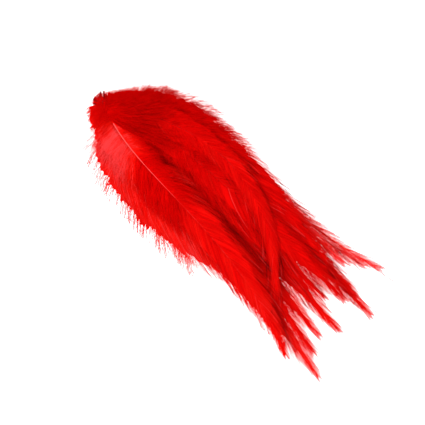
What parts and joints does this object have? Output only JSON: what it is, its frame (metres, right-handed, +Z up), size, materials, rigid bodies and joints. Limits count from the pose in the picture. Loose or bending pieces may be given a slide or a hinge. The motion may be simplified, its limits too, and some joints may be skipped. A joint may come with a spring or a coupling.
{
  "type": "stitched bunch of saddle hackle feathers",
  "caption": "Bunch of red dyed rooster saddle hackles stitched through their quills, for tying flies and dressing hooks; the feathers fan out about the stitch.",
  "frame": {"origin": "centre of the stitch, on the surface that the bunch rests on", "axes": "+X along the bunch towards the feather tips, +Z up along the stitch, away from the surface, and +Y across the bunch"},
  "size_m": [0.1481, 0.0548, 0.0153],
  "materials": {
    "quill": "satin",
    "vane": "satin",
    "down": "matte",
    "thread": "matte"
  },
  "bodies": {
    "stitch": {"stitch_thread": "thread"},
    "hackle_01": {"hackle_01_quill": "quill", "hackle_01_vane": "vane", "hackle_01_down": "down"},
    "hackle_02": {"hackle_02_quill": "quill", "hackle_02_vane": "vane", "hackle_02_down": "down"},
    "hackle_03": {"hackle_03_quill": "quill", "hackle_03_vane": "vane", "hackle_03_down": "down"},
    "hackle_04": {"hackle_04_quill": "quill", "hackle_04_vane": "vane", "hackle_04_down": "down"},
    "hackle_05": {"hackle_05_quill": "quill", "hackle_05_vane": "vane", "hackle_05_down": "down"},
    "hackle_06": {"hackle_06_quill": "quill", "hackle_06_vane": "vane", "hackle_06_down": "down"},
    "hackle_07": {"hackle_07_quill": "quill", "hackle_07_vane": "vane", "hackle_07_down": "down"},
    "hackle_08": {"hackle_08_quill": "quill", "hackle_08_vane": "vane", "hackle_08_down": "down"},
    "hackle_09": {"hackle_09_quill": "quill", "hackle_09_vane": "vane", "hackle_09_down": "down"},
    "hackle_10": {"hackle_10_quill": "quill", "hackle_10_vane": "vane", "hackle_10_down": "down"},
    "hackle_11": {"hackle_11_quill": "quill", "hackle_11_vane": "vane", "hackle_11_down": "down"},
    "hackle_12": {"hackle_12_quill": "quill", "hackle_12_vane": "vane", "hackle_12_down": "down"},
    "hackle_13": {"hackle_13_quill": "quill", "hackle_13_vane": "vane", "hackle_13_down": "down"},
    "hackle_14": {"hackle_14_quill": "quill", "hackle_14_vane": "vane", "hackle_14_down": "down"},
    "hackle_15": {"hackle_15_quill": "quill", "hackle_15_vane": "vane", "hackle_15_down": "down"},
    "hackle_16": {"hackle_16_quill": "quill", "hackle_16_vane": "vane", "hackle_16_down": "down"}
  },
  "joints": [
    {"name": "hackle_01_fan", "type": "hinge", "parent": "stitch", "child": "hackle_01", "pos_m": [0, 0, 0], "axis": [0, 0, 1], "range_deg": [-41, 19]},
    {"name": "hackle_02_fan", "type": "hinge", "parent": "stitch", "child": "hackle_02", "pos_m": [0, 0, 0], "axis": [0, 0, 1], "range_deg": [-42, 18]},
    {"name": "hackle_03_fan", "type": "hinge", "parent": "stitch", "child": "hackle_03", "pos_m": [0, 0, 0], "axis": [0, 0, 1], "range_deg": [-34, 26]},
    {"name": "hackle_04_fan", "type": "hinge", "parent": "stitch", "child": "hackle_04", "pos_m": [0, 0, 0], "axis": [0, 0, 1], "range_deg": [-29, 31]},
    {"name": "hackle_05_fan", "type": "hinge", "parent": "stitch", "child": "hackle_05", "pos_m": [0, 0, 0], "axis": [0, 0, 1], "range_deg": [-26, 34]},
    {"name": "hackle_06_fan", "type": "hinge", "parent": "stitch", "child": "hackle_06", "pos_m": [0, 0, 0], "axis": [0, 0, 1], "range_deg": [-21, 39]},
    {"name": "hackle_07_fan", "type": "hinge", "parent": "stitch", "child": "hackle_07", "pos_m": [0, 0, 0], "axis": [0, 0, 1], "range_deg": [-23, 37]},
    {"name": "hackle_08_fan", "type": "hinge", "parent": "stitch", "child": "hackle_08", "pos_m": [0, 0, 0], "axis": [0, 0, 1], "range_deg": [-36, 24]},
    {"name": "hackle_09_fan", "type": "hinge", "parent": "stitch", "child": "hackle_09", "pos_m": [0, 0, 0], "axis": [0, 0, 1], "range_deg": [-39, 21]},
    {"name": "hackle_10_fan", "type": "hinge", "parent": "stitch", "child": "hackle_10", "pos_m": [0, 0, 0], "axis": [0, 0, 1], "range_deg": [-31, 29]},
    {"name": "hackle_11_fan", "type": "hinge", "parent": "stitch", "child": "hackle_11", "pos_m": [0, 0, 0], "axis": [0, 0, 1], "range_deg": [-35, 25]},
    {"name": "hackle_12_fan", "type": "hinge", "parent": "stitch", "child": "hackle_12", "pos_m": [0, 0, 0], "axis": [0, 0, 1], "range_deg": [-38, 22]},
    {"name": "hackle_13_fan", "type": "hinge", "parent": "stitch", "child": "hackle_13", "pos_m": [0, 0, 0], "axis": [0, 0, 1], "range_deg": [-34, 26]},
    {"name": "hackle_14_fan", "type": "hinge", "parent": "stitch", "child": "hackle_14", "pos_m": [0, 0, 0], "axis": [0, 0, 1], "range_deg": [-19, 41]},
    {"name": "hackle_15_fan", "type": "hinge", "parent": "stitch", "child": "hackle_15", "pos_m": [0, 0, 0], "axis": [0, 0, 1], "range_deg": [-25, 35]},
    {"name": "hackle_16_fan", "type": "hinge", "parent": "stitch", "child": "hackle_16", "pos_m": [0, 0, 0], "axis": [0, 0, 1], "range_deg": [-18, 42]}
  ]
}
